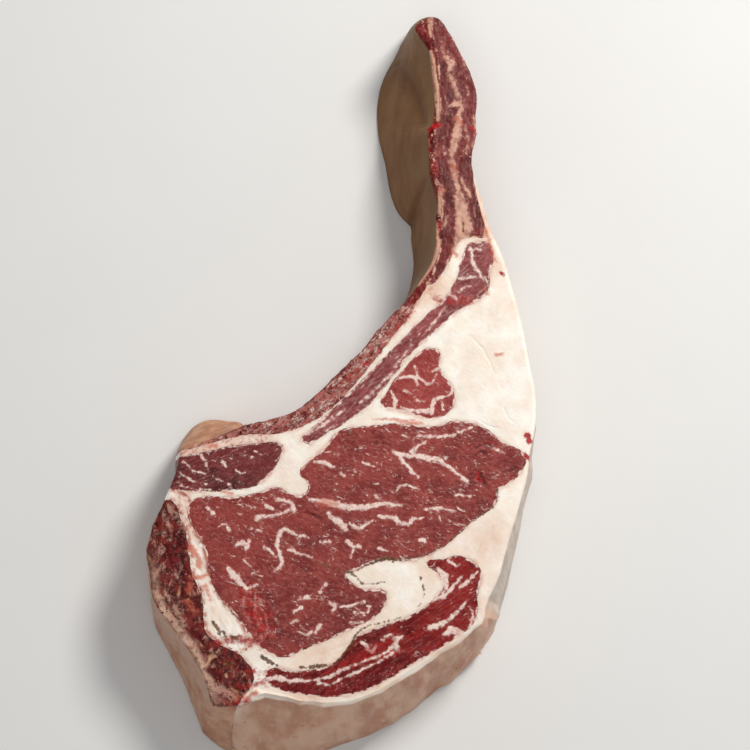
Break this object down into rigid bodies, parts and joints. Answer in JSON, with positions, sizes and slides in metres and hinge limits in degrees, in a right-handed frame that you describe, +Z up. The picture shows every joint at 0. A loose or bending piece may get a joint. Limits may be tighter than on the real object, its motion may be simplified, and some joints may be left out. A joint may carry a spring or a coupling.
{
  "type": "raw tomahawk rib steak",
  "caption": "Raw bone-in rib steak with a long curved rib handle, marbled lean, white fat cap and a membrane on the rib, lying on its back cut face.",
  "frame": {"origin": "middle of the steak's outline on the surface it lies on", "axes": "+Z up out of the shown cut face, +Y from the chine end along the steak towards the tip of the rib handle, +X towards the outer fat cap"},
  "size_m": [0.2136, 0.4276, 0.05],
  "materials": {
    "lean": "moist raw lean beef, deep red, fine grain with white marbling",
    "fat": "creamy white beef fat, satin",
    "rib": "tan rib membrane over bone, red-brown spongy bone where sawn",
    "chine": "rough sawn bone and cartilage, red-brown with pale flecks",
    "ligament": "cream to yellow ligament, slightly moist"
  },
  "bodies": {
    "root": {"rib_bone": "rib", "rib_meat": "lean", "intercostal_muscle": "lean", "eye_muscle": "lean", "chine_muscle": "lean", "deckle_muscle": "lean", "cap_muscle": "lean", "chine_bone": "chine", "ligament": "ligament", "fat": "fat"}
  },
  "joints": []
}
